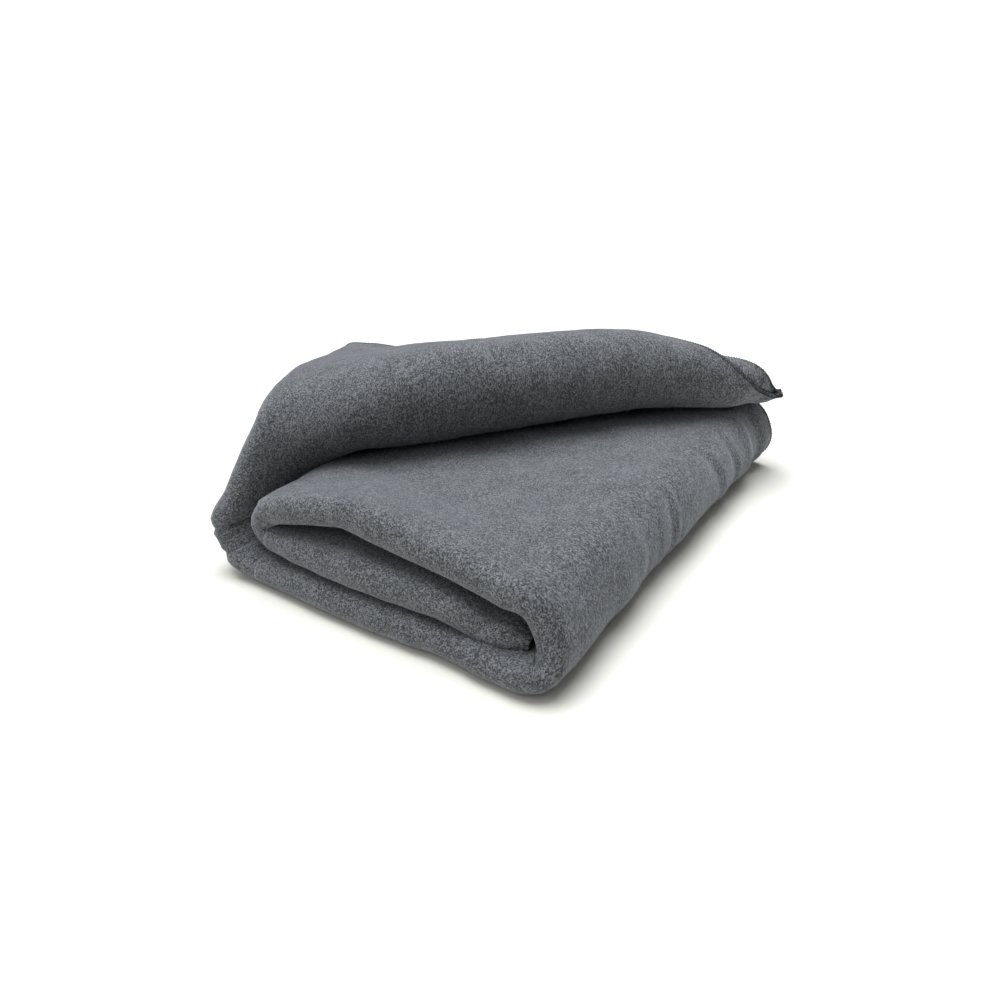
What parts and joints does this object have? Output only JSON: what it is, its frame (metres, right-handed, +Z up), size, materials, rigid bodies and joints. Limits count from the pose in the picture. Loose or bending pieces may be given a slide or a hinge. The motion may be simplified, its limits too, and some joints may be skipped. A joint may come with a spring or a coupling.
{
  "type": "folded throw blanket",
  "caption": "Oblong fleece throw folded in half and wound into a flat bundle, its top corner turned back over a soft roll.",
  "frame": {"origin": "under the middle of the bounding box, on the surface that the bundle lies on", "axes": "+X from the left folds to the right fold, +Y from the front fold to the free edges, +Z up"},
  "size_m": [0.5, 0.598, 0.2042],
  "materials": {
    "brushed_fleece": "brushed melange fleece, dark grey",
    "overlock_yarn": "spun yarn, charcoal"
  },
  "bodies": {
    "bundle": {"bottom_panel": "brushed_fleece", "right_fold": "brushed_fleece", "top_panel": "brushed_fleece", "inner_fold": "brushed_fleece", "middle_panel": "brushed_fleece", "left_fold": "brushed_fleece", "bottom_overlock": "overlock_yarn", "right_fold_overlock": "overlock_yarn", "top_overlock": "overlock_yarn", "inner_fold_overlock": "overlock_yarn", "middle_overlock": "overlock_yarn", "left_fold_overlock": "overlock_yarn", "tucked_end_overlock": "overlock_yarn"},
    "flap": {"flap_panel": "brushed_fleece", "flap_overlock": "overlock_yarn"},
    "turnback": {"roll_outer_ply": "brushed_fleece", "roll_inner_ply": "brushed_fleece", "turnback_panel": "brushed_fleece", "turnback_end_overlock": "overlock_yarn"}
  },
  "joints": [
    {"name": "flap_open", "type": "hinge", "parent": "bundle", "child": "flap", "pos_m": [-0.1445, 0, 0.0626], "axis": [0, -1, 0], "range_deg": [0, 55], "deforming": ["left_fold", "left_fold_overlock"]},
    {"name": "corner_turnback", "type": "hinge", "parent": "flap", "child": "turnback", "pos_m": [0.0626, -0.01207, 0.14934], "axis": [0.5655, 0.8248, 0], "range_deg": [0, 175], "deforming": ["roll_outer_ply", "roll_inner_ply"]}
  ]
}
